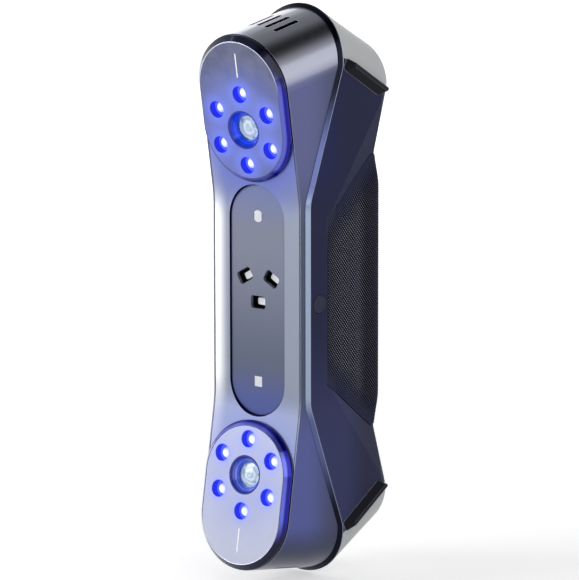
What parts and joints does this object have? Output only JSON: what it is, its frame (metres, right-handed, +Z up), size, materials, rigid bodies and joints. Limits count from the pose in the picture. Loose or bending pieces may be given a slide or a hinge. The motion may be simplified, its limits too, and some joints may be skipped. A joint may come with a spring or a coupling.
{
  "type": "hand-held three-d scanner",
  "caption": "Long hand-held scanner with a lamp-ringed camera pod at each end, laser windows between them, a knurled grip and spring-back keys.",
  "frame": {"origin": "centre of the bounding box, in the middle of the grip", "axes": "+Z up along the length towards the upper camera pod, -Y the way the cameras look, +X the side with the round thumb button"},
  "size_m": [0.0496, 0.0692, 0.2238],
  "materials": {
    "front_shell": "satin",
    "trim": "gloss",
    "rear_shell": "matte",
    "end_caps": "satin",
    "grip": "knurled",
    "bumpers": "matte",
    "fascia": "satin",
    "panel": "satin",
    "light_windows": "gloss",
    "pod_bezels": "gloss",
    "pod_faces": "satin",
    "index_lines": "matte",
    "lamps": "gloss",
    "lens_hoods": "gloss",
    "black_metal": "satin",
    "lens_glass": "polished",
    "circuit_boards": "gloss",
    "bench_metal": "machined",
    "brass_fittings": "machined",
    "black_plastic": "matte",
    "keys": "matte",
    "key_panel": "gloss",
    "steel": "plain"
  },
  "bodies": {
    "scanner_body": {"board_screws": "steel", "board_standoffs": "brass_fittings", "cap_screws": "steel", "centre_panel": "panel", "data_socket": "steel", "fascia_posts": "brass_fittings", "front_fascia": "fascia", "front_housing": "front_shell", "grip_sleeve": "grip", "heat_sink": "bench_metal", "image_sensors": "black_plastic", "key_board": "circuit_boards", "key_panel": "key_panel", "key_switches": "black_plastic", "laser_block": "black_metal", "laser_lenses": "lens_glass", "laser_modules": "black_metal", "lower_camera_board": "circuit_boards", "lower_end_cap": "end_caps", "lower_index_line": "index_lines", "lower_lamp_board": "circuit_boards", "lower_lamp_domes": "lamps", "lower_left_bumper": "bumpers", "lower_lens_barrel": "black_metal", "lower_lens_glass": "lens_glass", "lower_lens_hood": "lens_hoods", "lower_lens_mount": "black_metal", "lower_pod_bezel": "pod_bezels", "lower_pod_face": "pod_faces", "lower_right_bumper": "bumpers", "main_board": "circuit_boards", "optical_bench": "bench_metal", "panel_light_boards": "circuit_boards", "processor": "black_plastic", "rear_housing": "rear_shell", "rear_screws": "steel", "round_light_window": "light_windows", "seam_trim": "trim", "side_switch": "black_plastic", "side_switch_board": "circuit_boards", "socket_board": "circuit_boards", "socket_tongue": "black_plastic", "square_light_window": "light_windows", "upper_camera_board": "circuit_boards", "upper_end_cap": "end_caps", "upper_index_line": "index_lines", "upper_lamp_board": "circuit_boards", "upper_lamp_domes": "lamps", "upper_left_bumper": "bumpers", "upper_lens_barrel": "black_metal", "upper_lens_glass": "lens_glass", "upper_lens_hood": "lens_hoods", "upper_lens_mount": "black_metal", "upper_pod_bezel": "pod_bezels", "upper_pod_face": "pod_faces", "upper_right_bumper": "bumpers"},
    "side_button": {"side_button": "keys"},
    "plus_key": {"plus_key": "keys"},
    "scan_key": {"scan_key": "keys"},
    "minus_key": {"minus_key": "keys"}
  },
  "joints": [
    {"name": "side_button_press", "type": "slide", "parent": "scanner_body", "child": "side_button", "axis": [-1, 0, 0], "range_m": [0, 0.0006], "stiffness_N_per_m": 800},
    {"name": "plus_key_press", "type": "slide", "parent": "scanner_body", "child": "plus_key", "axis": [0, -1, 0], "range_m": [0, 0.0008], "stiffness_N_per_m": 800},
    {"name": "scan_key_press", "type": "slide", "parent": "scanner_body", "child": "scan_key", "axis": [0, -1, 0], "range_m": [0, 0.0008], "stiffness_N_per_m": 800},
    {"name": "minus_key_press", "type": "slide", "parent": "scanner_body", "child": "minus_key", "axis": [0, -1, 0], "range_m": [0, 0.0008], "stiffness_N_per_m": 800}
  ]
}
